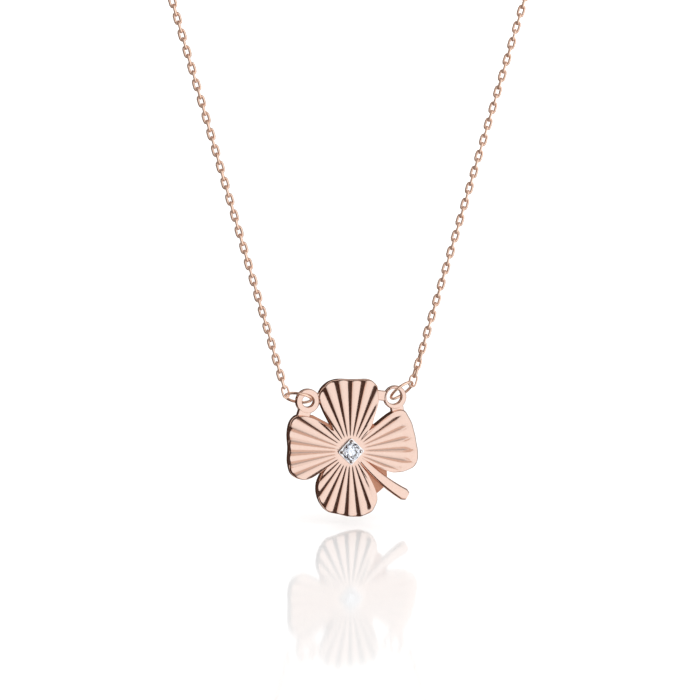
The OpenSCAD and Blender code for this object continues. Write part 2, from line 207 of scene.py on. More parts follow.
def rose_gold(name, rough_low, rough_high, warm_hex, light_hex, bump_strength=0.06):
    """Rose gold: base colour from warm to light by noise, roughness between the two values by the same
    noise, and a bump of a thousandth of a millimetre or so, stronger where the metal is unpolished."""
    made, tree, shader, place = material(name)
    marks = add(tree, "ShaderNodeTexNoise", inputs={
        "Vector": place, "Scale": 1 / (MOP_MARK_MM * MM), "Detail": 4.0, "Roughness": 0.6})
    gloss = add(tree, "ShaderNodeMapRange", inputs={
        "Value": marks.outputs["Fac"], "From Min": 0.3, "From Max": 0.7,
        "To Min": rough_low, "To Max": rough_high})
    tint = add(tree, "ShaderNodeMix", {"data_type": "RGBA"}, {
        "Factor": marks.outputs["Fac"], "A": linear(warm_hex), "B": linear(light_hex)})
    bump = add(tree, "ShaderNodeBump", inputs={
        "Height": marks.outputs["Fac"], "Strength": bump_strength, "Distance": MARK_DEEP_MM * MM})
    shader.inputs["Metallic"].default_value = 1.0
    for socket, value in (("Base Color", tint.outputs["Result"]), ("Roughness", gloss.outputs["Result"]),
                          ("Normal", bump.outputs["Normal"])):
        tree.links.new(value, shader.inputs[socket])
    return made


cast_gold = rose_gold("polished_rose_gold", 0.13, 0.21, "EFCDBD", "F5DBCE")
wire_gold = rose_gold("drawn_rose_gold_wire", 0.28, 0.38, "F8CDB3", "FFE6D4")
# The recess finish: rough, bumpy casting skin, and a dark brown base colour that is painted shade.
shaded_recess_gold = rose_gold("rough_rose_gold_recess_painted_shade", 0.34, 0.5, "A06650", "DDA88C", 0.6)
print("Rose gold:", cast_gold.name, wire_gold.name, shaded_recess_gold.name)

# %% [markdown]
# ## White gold and diamond
# The head is white gold under a thin coat of rhodium, which makes it whiter and brighter than the rose
# gold. Its faces are too small for the mop and keep a fine grain, 0.15 mm apart as drawn, so what they
# mirror is softer. A diamond bends light far more than glass: its refractive index is 2.42. It was cut and
# polished on a wheel, and its facets are flat, so it needs no texture to sparkle. A trace of blue in its
# colour, in clouds 0.6 mm wide, is a painted reflection of the sky-like light it is sold under.

# %% White gold and diamond
GRAIN_MM, CLOUD_MM = 0.15, 0.6
white_gold, tree, shader, place = material("rhodium_plated_white_gold")
grain = add(tree, "ShaderNodeTexNoise", inputs={
    "Vector": place, "Scale": 1 / (GRAIN_MM * MM), "Detail": 3.0})
gloss = add(tree, "ShaderNodeMapRange", inputs={
    "Value": grain.outputs["Fac"], "To Min": 0.2, "To Max": 0.34})
tree.links.new(gloss.outputs["Result"], shader.inputs["Roughness"])
shader.inputs["Base Color"].default_value = linear("F8FAFD")
shader.inputs["Metallic"].default_value = 1.0

diamond, tree, shader, place = material("polished_diamond")
# The blue clouds in the stone's base colour are a painted reflection of sky-like light.
cloud = add(tree, "ShaderNodeTexNoise", inputs={
    "Vector": place, "Scale": 1 / (CLOUD_MM * MM), "Detail": 2.0})
tint = add(tree, "ShaderNodeMix", {"data_type": "RGBA"}, {
    "Factor": cloud.outputs["Fac"], "A": linear("DCEAFF"), "B": linear("F8FBFF")})
tree.links.new(tint.outputs["Result"], shader.inputs["Base Color"])
shader.inputs["Roughness"].default_value = 0.0
shader.inputs["IOR"].default_value = 2.42
shader.inputs["Transmission Weight"].default_value = 1.0
print("White metal and stone:", white_gold.name, diamond.name)

# %% [markdown]
# ## The clover's plate
# A petal is a fan of flutes: shallow scoops that run out from the stone and meet in sharp crests. They
# could be cut one by one with a tool. But all of them follow one rule in polar form, so the front is a
# surface over the angle and the distance out, and the same grid goes on round the rim and over the flat
# back. The sizes are the CAD model's own, apart from the last touches of the finish, which move a surface
# by about 0.3 mm at most. The edges of the rim, the ears and the stem are rounder here. On the right-hand
# rims the flutes fade over a little longer way and keep a third of their depth, and beside the two notches
# there they fade earlier.

# %% Sizes of the plate
STONE_AT = np.array([-0.4, -100.0, -128.0])
PETAL_REACH, PLATE_T, FLUTE_DEPTH, FLUTE_PITCH = 7.6, 1.05, 0.3, 11.3
CENTRE_R, AZURE_R, BORDER_W, BORDER_KEEP = 1.3, 0.62, 1.2, 0.35
BORDER_TURN, BORDER_SPREAD, BORDER_SOFT, BORDER_FLAT, FLUTE_RUN_IN = -8, 72, 0.3, 0.1, 0.6
SHALLOW_AT, SHALLOW_W, SHALLOW_SPREAD = (56, 300), 2.6, 9
FRONT, BACK, BACK_STEP = -PLATE_T / 2, PLATE_T / 2, 0.07
RIM_ROUND, BACK_ROUND = 0.26, 0.06
STEPS_PER_FLUTE, END_ROOM, ROWS_OUT, ROWS_LEAN = 14, 0.4, 27, 0.9

RIGHT_RIM = [[-31.6, 0.39], [-30.6, 0.585], [-28.6, 0.723], [-26, 0.802], [-23.1, 0.877], [-16.8, 1.005],
             [-12.9, 1.032], [-9, 1.042], [-5.2, 1.036], [-1.4, 1.022], [4.9, 1.008], [11.6, 1], [19.9, 1],
             [27.2, 0.994], [34.4, 0.972], [38.6, 0.86], [40.5, 0.7], [41.6, 0.55], [45, 0.41]]
TOP_RIM = [[45, 0.41], [47.7, 0.51], [52.2, 0.61], [55.2, 0.715], [57.4, 0.809], [60.7, 0.89], [64.4, 0.98],
           [68, 1.027], [72.1, 1.049], [81.6, 1.021], [89, 1.015], [100.3, 1.042], [108, 1.033],
           [116, 0.973], [119.8, 0.9], [121.8, 0.79], [123.4, 0.66], [125.4, 0.5], [128.6, 0.4]]
LEFT_RIM = [[128.6, 0.4], [131.2, 0.45], [132.4, 0.53], [134.7, 0.625], [136.7, 0.71], [139.2, 0.8],
            [144, 0.925], [147, 0.962], [153, 0.979], [161, 0.956], [175, 0.899], [189.8, 0.912],
            [200.6, 0.896], [209.8, 0.775], [212.3, 0.66], [213.5, 0.42]]
BOTTOM_RIM = [[213.5, 0.42], [219.2, 0.563], [224.7, 0.673], [233.9, 0.793], [243.4, 0.883], [250.3, 0.924],
              [257.9, 0.922], [277.4, 0.972], [286.5, 0.97], [292.6, 0.935], [301.7, 0.78], [308, 0.42]]
STEM_GAP = [[308, 0.42], [309.5, 0.27], [327, 0.27], [328.4, 0.39]]
PETALS = [(RIGHT_RIM, 9.6, 0.96), (TOP_RIM, 88.3, 1.008), (LEFT_RIM, 178.4, 0.992),
          (BOTTOM_RIM, 268.2, 1.013), (STEM_GAP, 320, 1)]
print("Widest flutes:", round(math.radians(FLUTE_PITCH) * PETAL_REACH, 2), "mm at the rim")

# %% [markdown]
# The rim was measured in the photograph as rows of angle and reach, a share of PETAL_REACH. Straight lines
# between the rows would leave corners, so a smooth curve goes through them. The columns of the grid follow
# the flutes, with one on every crest.

# %% The line of the rim
def rim_reach(rows, angle):
    """A smooth curve through rows of angle and reach. Between two rows, s going from 0 to 1, it is the
    straight rise times 3s² - 2s³, plus s(1 - s) times the slopes at both ends."""
    a, reach = np.array(rows, float).T
    k = np.arange(len(a))
    before, after = np.maximum(k - 1, 0), np.minimum(k + 1, len(a) - 1)
    slope = (reach[after] - reach[before]) / (a[after] - a[before])
    i = np.clip(np.searchsorted(a, angle, side="right") - 1, 0, len(a) - 2)
    width = a[i + 1] - a[i]
    s = (angle - a[i]) / width
    return (reach[i] + (reach[i + 1] - reach[i]) * s * s * (3 - 2 * s)
            + width * s * (1 - s) * ((1 - s) * slope[i] - s * slope[i + 1]))


def plate_columns():
    """Angle, reach, crest angle and flute pitch of every column of the plate, petal by petal, with a column
    on each crest so that it stays a sharp line. Each petal begins with a column on its first row, and the
    others keep END_ROOM of a step from its ends."""
    columns = []
    for rows, crest, share in PETALS:
        pitch = FLUTE_PITCH * share
        step = pitch / STEPS_PER_FLUTE
        low, high = rows[0][0], rows[-1][0]
        k = np.arange(math.ceil((low - crest) / step + END_ROOM),
                      math.floor((high - crest) / step - END_ROOM) + 1)
        angle = np.concatenate([[low], crest + k * step])
        reach = PETAL_REACH * rim_reach(rows, angle)
        columns.append(np.stack(np.broadcast_arrays(angle, reach, crest, pitch)))
    return np.concatenate(columns, axis=1)


angle, reach, crest, pitch = plate_columns()
print("Plate columns:", len(angle), "widest reach:", round(float(reach.max()), 2), "mm")

# %% [markdown]
# Flutes like these are cut with a round tool, deeper the farther they run from the stone. A displacement
# texture could press them in, but then the crests would be as blunt as the mesh is coarse. A formula on
# the columns keeps them sharp.

# %% The depth of the flutes
def flute(angle, crest, pitch, r, rim):
    """Depth of the fluting below the crests. Across a flute it is 1 - w², w going from -1 to 1 between two
    crests. It grows in proportion to r and starts softly at the centre. On the right it fades towards the
    rim to BORDER_KEEP of its depth, over BORDER_W, and less so where that border ends. Beside the
    right-hand notches it fades earlier, and to nothing."""
    w = 2 * np.mod((angle - crest) / pitch, 1) - 1
    lean = np.cos(np.radians(angle - BORDER_TURN)) - math.cos(math.radians(BORDER_SPREAD))
    share = np.clip(lean / BORDER_SOFT, 0, 1)
    notch = sum(np.clip(1 - np.abs(angle - at) / SHALLOW_SPREAD, 0, 1) for at in SHALLOW_AT)
    border = BORDER_W * np.maximum(share, 0.5) + SHALLOW_W * notch
    rise = np.clip((rim - r) / border - BORDER_FLAT, 0, 1)
    keep = BORDER_KEEP * (1 - np.minimum(notch, 1))
    fade = 1 - (1 - keep) * np.minimum(2 * share, 1) * (1 - (rise + soft_step(rise)) / 2)
    return FLUTE_DEPTH * (1 - w * w) * soft_step((r - CENTRE_R) / FLUTE_RUN_IN) * r / PETAL_REACH * fade


print("Deepest flute:", round(float(flute(angle, crest, pitch, reach - RIM_ROUND, reach).max()), 3), "mm")

# %% [markdown]
# The grid's rows run from the hole under the stone out over the front, round the rim's rounded edge, in
# over the back and through the hole again. Rows and columns both close in a ring, so the surface has no
# edge to cap.

# %% The plate as one closed surface
inner = reach - RIM_ROUND
rows_r, rows_y = [], []
for r in np.linspace(AZURE_R, CENTRE_R, 4)[:-1]:
    rows_r.append(np.full_like(reach, r))
    rows_y.append(np.full_like(reach, FRONT))
for share in np.linspace(0, 1, ROWS_OUT) ** ROWS_LEAN:
    r = CENTRE_R + (inner - CENTRE_R) * share
    rows_r.append(r)
    rows_y.append(FRONT + flute(angle, crest, pitch, r, inner))
edge = FRONT + flute(angle, crest, pitch, inner, inner)
for turn in np.radians([18, 36, 54, 72, 90]):
    rows_r.append(inner + RIM_ROUND * math.sin(turn))
    rows_y.append(edge + RIM_ROUND * (1 - math.cos(turn)))
for turn in np.radians([90, 45, 0]):
    rows_r.append(reach - BACK_ROUND * (1 - math.sin(turn)))
    rows_y.append(np.full_like(reach, BACK - BACK_ROUND * (1 - math.cos(turn))))
for share in (0.75, 0.5, 0.25, 0):
    rows_r.append(AZURE_R + (reach - BACK_ROUND - AZURE_R) * share)
    rows_y.append(np.full_like(reach, BACK))
plate = shell(spun(np.array(rows_r), np.array(rows_y), angle))
print("Plate:", len(plate[1]), "quads")

# %% [markdown]
# ## Webs, stem and ears
# Between the petals the casting has thin recessed webs, and a stem curves away to the lower right. Two
# round ears rise on short necks, each tied to the top petal by a small bridge. On the real piece these
# are all one casting. Here they are closed shells that sink into one another, because the metal hides the
# overlap and the edges stay crisp.

# %% Flat bars with round edges
EDGE = 0.07


def rounded_bar(path, width, front, back, edge=EDGE):
    """A flat bar along a path in the plane of the pendant. Its section is a rectangle with quarter-round
    corners: at each corner the point runs by sine and cosine of 0 to 90 degrees. Both ends close in a
    point at the middle of the section."""
    path = np.asarray(path, float)
    along = unit(np.gradient(path, axis=0))
    side = np.stack([-along[:, 1], along[:, 0]], -1)
    quarter = np.arange(0, 91, 15)
    turn = np.radians(np.concatenate([quarter, quarter + 90, quarter + 180, quarter + 270]))
    corner = np.repeat([1, -1, -1, 1], len(quarter)), np.repeat([1, 1, -1, -1], len(quarter))
    half_w, half_t = np.broadcast_to(width, len(path)) / 2, (back - front) / 2
    across = corner[0] * (half_w[:, None] - edge) + edge * np.cos(turn)
    depth = corner[1] * (np.broadcast_to(half_t, len(path))[:, None] - edge) + edge * np.sin(turn)
    middle = np.broadcast_to((front + back) / 2, len(path))
    grid = in_plane(path[:, :1] + side[:, :1] * across, middle[:, None] + depth,
                    path[:, 1:] + side[:, 1:] * across)
    ends = [np.repeat(grid[k].mean(0)[None, None], grid.shape[1], axis=1) for k in (0, -1)]
    return shell(np.concatenate([ends[0], grid, ends[1]]), loop=False)


print("Bars ready, with edges of", EDGE, "mm where nothing else is said")

# %% The webs between the petals
WEB_R, STEM_WEB_R, WEB_T, FAN_STEP = 3.9, 5.85, 0.5, 0.2
STEM_WEB = [[-60, 1], [-46, 1], [-38.4, 0.945], [-34.6, 0.91], [-31, 0.865], [-26, 0.85]]
LEFT_LEDGE = [[125.5, 0.46], [128, 0.53], [131.2, 0.605], [134.6, 0.735], [138.4, 0.82], [143, 0.85]]


def web_plate():
    """A flat plate round the hole: a disc, drawn out to the rows of the stem's web and of the left
    ledge, where it steps out within FAN_STEP degrees. Its edge is cut back by EDGE in two slants."""
    angle = np.arange(0, 360, 3.0)
    fans = [(np.array(STEM_WEB, float), STEM_WEB_R), (np.array(LEFT_LEDGE, float), PETAL_REACH)]
    for rows, _ in fans:
        span = rows[:, 0] % 360
        angle = np.concatenate([angle, span, [span[0] - FAN_STEP, span[-1] + FAN_STEP]])
    angle = np.unique(angle)
    reach = np.full(len(angle), WEB_R)
    for rows, scale in fans:
        inside = (angle >= rows[0, 0] % 360) & (angle <= rows[-1, 0] % 360)
        reach[inside] = scale * np.interp(angle[inside], rows[:, 0] % 360, rows[:, 1])
    hole, slant = np.full_like(reach, AZURE_R), EDGE * 0.3
    r = np.array([hole, reach - EDGE, reach - slant, reach, reach, reach - slant, reach - EDGE, hole])
    y = np.array([0, 0, slant, EDGE, WEB_T - EDGE, WEB_T - slant, WEB_T, WEB_T])
    return shell(spun(r, y[:, None] + BACK - BACK_STEP - WEB_T, angle))


webs = web_plate()
print("Webs:", len(webs[1]), "quads")

# %% [markdown]
# The stem is a flat bar that widens towards its end. It could be a Bezier curve object with a profile, but
# the same curve as a formula gives one clean grid, with the end's corners cut as on the real one.

# %% The stem
STEM_ROOT, STEM_BEND, STEM_TIP = PETAL_REACH * np.array([(0.15, -0.11), (0.491, -0.4875), (0.866, -0.704)])
STEM_ROOT_W, STEM_END_W, STEM_CORNER, STEM_STEP, STEM_EDGE = 0.8, 1.4, 0.2, 0.03, 0.35


def stem():
    """A bar along the curve (1 - t)² root + 2t(1 - t) bend + t² tip, with its end corners cut."""
    last = 1 - STEM_CORNER / np.linalg.norm(STEM_TIP - STEM_BEND)
    t = np.concatenate([np.linspace(0, last, 22), [1]])[:, None]
    path = (1 - t) ** 2 * STEM_ROOT + 2 * t * (1 - t) * STEM_BEND + t ** 2 * STEM_TIP
    width = STEM_ROOT_W + (STEM_END_W - STEM_ROOT_W) * t[:, 0]
    width[-1] = STEM_END_W - 2 * STEM_CORNER
    return rounded_bar(path, width, FRONT + STEM_STEP, BACK - BACK_STEP, STEM_EDGE)


print("Stem:", STEM_ROOT_W, "to", STEM_END_W, "mm wide")

# %% [markdown]
# The ears hold the jump rings. Each could be a torus, but the real ones are cut from flat metal and then
# rounded a little, so the section is a rectangle with round corners. The hole of the right ear is off its
# middle, as in the photograph.

# %% The ears, and the whole casting
EAR_T, EAR_EDGE = 0.6, 0.16
EAR_FRONT = BACK - 0.03 - EAR_T
LEFT_EAR = {"at": [-0.606, 0.7355], "hole_at": [-0.606, 0.7355], "r": 1.34, "hole_r": 0.62,
            "neck_foot": [-0.684, 0.493], "bridge_foot": [-0.38, 0.785]}
RIGHT_EAR = {"at": [0.695, 0.727], "hole_at": [0.676, 0.741], "r": 1.29, "hole_r": 0.83,
             "neck_foot": [0.75, 0.454], "bridge_foot": [0.355, 0.785]}
NECK_W, NECK_IN, BRIDGE_W, BRIDGE_FRONT_IN, BRIDGE_BACK_IN, BAR_START = 1.45, 0.02, 1.1, 0.05, 0.03, 0.2


def ear_bar(at, foot, hole_r, width, front_in, back_in):
    """A bar from just outside the ear's hole to its foot. It is set in from the ear's front and back, so
    that no two faces lie in one plane."""
    start = at + unit(foot - at) * (hole_r + BAR_START)
    t = np.linspace(0, 1, 12)[:, None]
    return rounded_bar(start + (foot - start) * t, width, EAR_FRONT + front_in, EAR_FRONT + EAR_T - back_in,
                       EAR_EDGE)


def ear(at, hole_at, r, hole_r, neck_foot, bridge_foot):
    """A ring whose section is a rounded rectangle between the hole's circle and the outer one, and two
    bars: a neck that runs into the petal's edge, and the bridge."""
    at, hole_at, neck_foot, bridge_foot = PETAL_REACH * np.array([at, hole_at, neck_foot, bridge_foot])
    turn = np.radians(np.arange(0, 360, 5.0))[:, None]
    corner = EAR_EDGE * (1 - np.sin(np.radians([0, 30, 60, 90])))
    inset = np.concatenate([corner, corner[::-1], corner, corner[::-1]])
    outer = np.repeat([0, 0, 1, 1], 4)
    drop = EAR_EDGE * (1 - np.cos(np.radians([0, 30, 60, 90])))
    y = EAR_FRONT + np.concatenate([EAR_T - drop, drop[::-1], drop, EAR_T - drop[::-1]])
    radius = np.where(outer == 1, r - inset, hole_r + inset)
    x, z = (hole_at[k] * (1 - outer) + at[k] * outer + radius * spin
            for k, spin in enumerate((np.cos(turn), np.sin(turn))))
    return together(shell(in_plane(x, y, z)),
                    ear_bar(at, neck_foot, hole_r, NECK_W, NECK_IN, NECK_IN),
                    ear_bar(at, bridge_foot, hole_r, BRIDGE_W, BRIDGE_FRONT_IN, BRIDGE_BACK_IN))


parts = together(webs, plate, stem(), ear(**LEFT_EAR), ear(**RIGHT_EAR))
# The webs take the recess finish: rougher metal, with a darker colour that is painted shade.
piece("clover_casting", (parts[0] + STONE_AT, parts[1]), "pendant", cast_gold, "clover",
      other_finish=shaded_recess_gold, other_quads=slice(len(webs[1])))

# %% [markdown]
# ## The head and its prongs
# The stone sits in a square block with its corner up. A seat is cut in the block for the stone, and a
# small prong at each corner is pushed over its edge and finished as a bead. The block is again a grid that
# closes both ways: its outside follows a square whose corners are softened, its inside a circle.

# %% The head
HEAD_SIDE, HEAD_H, STONE_D, SEAT_GAP, PRONG_R, BEAD_R = 2.14, 0.42, 1.92, 0.02, 0.17, 0.2
HEAD_EDGE, HEAD_POWER, PRONG_LEAN, LEAN_OVER = 0.05, 14, 0.1, 0.2
GIRDLE_Y = FRONT - HEAD_H


def head_block():
    """Outside: half the side divided by the 14th root of |cos|¹⁴ + |sin|¹⁴, which is a square with
    soft corners, turned by 45 degrees. Inside: the seat's wall, a cone down to the hole, and the hole."""
    turn = np.radians(np.arange(0, 360, 3.0))
    power = np.abs(np.cos(turn)) ** HEAD_POWER + np.abs(np.sin(turn)) ** HEAD_POWER
    square = HEAD_SIDE / 2 / power ** (1 / HEAD_POWER)
    seat, foot, edge = STONE_D / 2 + SEAT_GAP, FRONT - SEAT_GAP, HEAD_EDGE
    cone = seat + SEAT_GAP - AZURE_R
    r = [square, square, square - 0.3 * edge, square - edge, np.maximum(square - 2 * edge, seat + 0.01),
         seat + 0.005, seat, AZURE_R, AZURE_R]
    y = [foot, GIRDLE_Y + edge, GIRDLE_Y + 0.3 * edge, GIRDLE_Y, GIRDLE_Y, GIRDLE_Y, GIRDLE_Y + edge,
         min(GIRDLE_Y + cone, foot - 0.02), foot]
    r = np.array([np.broadcast_to(v, turn.shape) for v in r])
    lean = turn + math.pi / 4
    return shell(in_plane(r * np.cos(lean), np.array(y)[:, None], r * np.sin(lean)))


def prong(side):
    """A post turned about its own line, ending in a bead: its radius is the post's up to the bead, then
    the bead's times the sine of 50 to 180 degrees. The top leans in over the stone by PRONG_LEAN."""
    at = np.array([math.cos(side), math.sin(side)]) * (STONE_D / 2 + PRONG_R)
    crown = GIRDLE_Y - BEAD_R / 2
    arc = np.radians(np.linspace(50, 180, 9))
    r = np.concatenate([[0, PRONG_R, PRONG_R], BEAD_R * np.sin(arc)])
    y = np.concatenate([[FRONT - SEAT_GAP, FRONT - SEAT_GAP, crown + BEAD_R], crown + BEAD_R * np.cos(arc)])
    share = 1 - PRONG_LEAN * soft_step((GIRDLE_Y - y) / LEAN_OVER) / np.linalg.norm(at)
    turn = np.radians(np.arange(0, 360, 20.0))
    x = (at[0] * share)[:, None] + r[:, None] * np.cos(turn)
    z = (at[1] * share)[:, None] + r[:, None] * np.sin(turn)
    return shell(in_plane(x, y[:, None], z), loop=False)


head = together(head_block(), *(prong(side) for side in np.radians([0, 90, 180, 270])))
piece("square_head", (head[0] + STONE_AT, head[1]), "pendant", white_gold, "setting")
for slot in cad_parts["diamond"].material_slots:
    slot.material = diamond

# %% [markdown]
# ## Jump rings
# Each ring is a turn of round wire. It is tilted in its ear, as a hanging ring is, so from the front it
# looks like a thin oval. A torus is a circle carried round a circle, which is one formula on a grid.

# %% The two jump rings
RING_R, RING_WIRE, RING_FORWARD = 1.4, 0.3, 0.08
RING_Y = EAR_FRONT + EAR_T / 2 - RING_FORWARD
LEFT_GRIP = PETAL_REACH * np.array(LEFT_EAR["at"]) + [0.3, 0]
RIGHT_GRIP = PETAL_REACH * np.array(RIGHT_EAR["hole_at"]) + [-0.3, -0.09]
LEFT_RISE, RIGHT_RISE, LEFT_TILT, RIGHT_TILT = 17, 30, 24, 35


def turn_about(axis, degrees):
    """The matrix that turns a point about the X, Y or Z axis by the right-hand rule."""
    c, s = math.cos(math.radians(degrees)), math.sin(math.radians(degrees))
    i, j = {"X": (1, 2), "Y": (2, 0), "Z": (0, 1)}[axis]
    m = np.eye(3)
    m[i, i], m[i, j], m[j, i], m[j, j] = c, -s, s, c
    return m


def torus(r, wire, around=72, section=16):
    """Round the Z axis: distance r + (wire / 2) cos v, height (wire / 2) sin v, turned by u."""
    u = np.radians(np.arange(around) * 360 / around)[:, None]
    v = np.radians(np.arange(section) * 360 / section)[None, :]
    out = r + wire / 2 * np.cos(v)
    return in_plane(out * np.cos(u), out * np.sin(u), wire / 2 * np.sin(v) + 0 * u)


def jump_ring(grip, rise, tilt, side):
    """A torus tilted about its long axis, turned to lie along its rise, its inner end at the grip. The
    place of its outer end, where the chain hooks in, comes with it."""
    out = np.array([side * math.cos(math.radians(rise)), math.sin(math.radians(rise))])
    middle = grip + RING_R * out
    m = turn_about("Y", -math.degrees(math.atan2(out[1], out[0]))) @ turn_about("X", -tilt * side)
    ring = shell(torus(RING_R, RING_WIRE) @ m.T + STONE_AT + [middle[0], RING_Y, middle[1]])
    return ring, grip + 2 * RING_R * out


left_ring, left_hook = jump_ring(LEFT_GRIP, LEFT_RISE, LEFT_TILT, -1)
right_ring, right_hook = jump_ring(RIGHT_GRIP, RIGHT_RISE, RIGHT_TILT, 1)
wires = [piece("jump_ring_wire_left", left_ring, "chain", wire_gold, "jump_ring_left"),
         piece("jump_ring_wire_right", right_ring, "chain", wire_gold, "jump_ring_right")]

# %% [markdown]
# ## The cable chain
# A cable chain is a row of equal oval links, each turned a quarter turn from the last. It could be an
# array along a curve, but then the links would stretch in the bends. So one link's points are worked out
# once, and copied by a matrix product to each link's place, and nothing is bent. A link is small, so it
# has few faces.

# %% One link
LINK_L, LINK_W, LINK_WIRE = 1.46, 0.86, 0.28
END_LINK_L, END_LINK_W, END_WIRE = 1.5, 0.95, 0.2


def link_grid(length, width, wire, per_end=6, section=6):
    """A round-ended loop along Z that opens along Y: two half circles of per_end points each, joined by
    straight sides, with a circle of section points carried round it."""
    r = (width - wire) / 2
    straight = (length - wire) / 2 - r
    u = np.concatenate([np.linspace(0, 180, per_end), np.linspace(180, 360, per_end)])
    shift = np.repeat([straight, -straight], per_end)
    u = np.radians(u)[:, None]
    v = np.radians(np.arange(section) * 360 / section)[None, :]
    out = r + wire / 2 * np.cos(v)
    return in_plane(out * np.cos(u), wire / 2 * np.sin(v) + 0 * u, out * np.sin(u) + shift[:, None])


link = link_grid(LINK_L, LINK_W, LINK_WIRE)
end_link = link_grid(END_LINK_L, END_LINK_W, END_WIRE, per_end=16, section=14)
print("Points of a link:", link[..., 0].size, "and of an end link:", end_link[..., 0].size)

# %% [markdown]
# From the pendant a strand hangs straight, as a chain does under a load. Then it lies round a neck and
# comes to the clasp. The photograph ends soon above the pendant, so the route round the neck is the plain
# one. A curve object could carry it, but here its places and directions are needed as numbers, one for
# each link. The points are shares of half the loop's width, then millimetres back and up.

# %% The route round the neck
STRAND_UP = unit([0.299, 0, 1])
LOOP_W, LOOP_ROOM = 89.2, 0.16
CHAIN_ROUTE = [[0.478, -100, -74], [0.605, -99.2, -56.5], [0.731, -95, -40.5], [0.852, -86, -27],
               [0.946, -72, -16.5], [1, -55, -9.5], [0.991, -37, -5], [0.886, -21, -2.5],
               [0.684, -8.6, -1.2], [0.415, -1.2, -0.4]]


def route(points, steps=40, first_steps=50):
    """A smooth line through the points: straight to the second one, then for each t from 0 to 1 the
    cubic that leaves each point parallel to the line between its two neighbours."""
    points = np.asarray(points, float)
    last = len(points) - 1
    i = np.arange(1, last)[:, None]
    p0, p1, p2, p3 = (points[np.minimum(i + k, last)] for k in (-1, 0, 1, 2))
    t = (np.arange(steps) / steps)[None, :, None]
    curve = 0.5 * (2 * p1 + (p2 - p0) * t + (2 * p0 - 5 * p1 + 4 * p2 - p3) * t ** 2
                   + (3 * p1 - p0 - 3 * p2 + p3) * t ** 3)
    first = points[0] + (points[1] - points[0]) * np.linspace(0, 1, first_steps)[:-1, None]
    return np.concatenate([first, curve.reshape(-1, 3), points[-1:]])


print("Route over", len(CHAIN_ROUTE), "points, loop", LOOP_W, "mm wide")

# %% [markdown]
# In a hanging chain each link lies across its neighbours, give or take the play between them. The angle of
# every link could come from a simulation. A quarter turn each, a slow twist that shows the links to the
# camera as the photograph does, and a little chance look the same.

# %% The links along each side
LINK_PITCH, LINK_GAP, END_TURN = 0.9, 0.1, 15
CLASP_D, CLASP_L, EYE_D, EYE_WIRE, EYE_SINK = 1.9, 6.0, 1.6, 0.3, 0.2
FACING, TWIST_AT, LINK_PLAY, LOOK_AHEAD, LINK_SHARP = 18.0, (6, 60), 2, 0.3, 80


def chain_side(hook, side, seed):
    """Links along one side, worked out on the right-hand side and mirrored by side. Link k stands at equal
    steps of length, turned by a quarter turn times k, by a slow twist, and by a few degrees at random. The
    twist runs straight between values at four places along the chain. The loop is LOOP_ROOM narrower than
    the CAD tube's, so that the links' corners stay in its box."""
    flip = np.array([side, 1, 1])
    hook = np.array([hook[0] + STONE_AT[0], STONE_AT[1] + RING_Y, hook[1] + STONE_AT[2]]) * flip
    eye_r = (EYE_D - EYE_WIRE) / 2
    half = (END_LINK_L - END_WIRE) / 2
    front_link = hook + STRAND_UP * (half - END_WIRE / 2 - RING_WIRE / 2 - LINK_GAP)
    eye_x = CLASP_L / 2 + eye_r - EYE_SINK
    rear_link = np.array([eye_x + eye_r - EYE_WIRE / 2 - END_WIRE / 2 - LINK_GAP + half, CLASP_D / 2, 0])
    past = half + END_WIRE / 2 + LINK_GAP
    around = np.array(CHAIN_ROUTE) * [(LOOP_W - LOOP_ROOM) / 2, 1, 1]
    line = route([front_link + STRAND_UP * past, *around, rear_link + [past, 0, 0]])
    line = np.concatenate([front_link[None], line, rear_link[None]])
    s = np.concatenate([[0], np.cumsum(np.linalg.norm(np.diff(line, axis=0), axis=1))])
    lead = half - END_WIRE / 2 - LINK_WIRE / 2 + (LINK_L - LINK_WIRE) / 2
    count = round((s[-1] - 2 * lead) / LINK_PITCH) + 1
    at = np.linspace(lead, s[-1] - lead, count)
    middle, ahead, behind = (np.stack([np.interp(at + step, s, line[:, k]) for k in range(3)], -1)
                             for step in (0, LOOK_AHEAD, -LOOK_AHEAD))
    along = unit(ahead - behind)
    outward = unit(np.stack([along[:, 1], -along[:, 0], 0 * along[:, 0]], -1))
    across = np.cross(along, outward)
    random = np.random.default_rng(seed)
    facing = 90 - FACING * side
    twist = np.interp(at, [0, *TWIST_AT, s[-1]], [90 + END_TURN, facing, facing, 90 * (count % 2)])
    roll = np.radians(twist + 90 * np.arange(count) + random.normal(0, LINK_PLAY, count))[:, None]
    normal = np.cos(roll) * outward + np.sin(roll) * across
    frames = np.stack([np.cross(normal, along), normal, along], -1)
    links = np.einsum("kij,rcj->krci", frames, link) + middle[:, None, None]
    lean = math.degrees(math.atan2(STRAND_UP[0], STRAND_UP[2]))
    front = end_link @ (turn_about("Y", lean) @ turn_about("Z", -END_TURN)).T + front_link
    rear = end_link @ (turn_about("Z", 90) @ turn_about("X", 90)).T + rear_link
    pitch = at[1] - at[0]
    print(f"Chain side {side}: {count} links, {pitch:.3f} mm apart, {s[-1]:.1f} mm between the end links")
    return together(*(shell(grid * flip) for grid in links)), shell(front * flip), shell(rear * flip)


for name, hook, side, seed in (("left", left_hook, -1, 3), ("right", right_hook, 1, 8)):
    links, front, rear = chain_side(hook, side, seed)
    made = [piece(kind + name, shape, "chain", wire_gold, node + name, sharp=LINK_SHARP)
            for kind, shape, node in (("cable_links_", links, "chain_"),
                                      ("end_link_wire_", front, "end_link_"),
                                      ("clasp_link_wire_", rear, "clasp_link_"))]
    wires += made[:2]

# %% [markdown]
# ## The clasp
# The clasp is behind the neck. It is taken as a plain barrel, two halves that meet in a fine line, with an
# eye at each end. A barrel is turned on a lathe, so its surface is one profile spun about its own line.

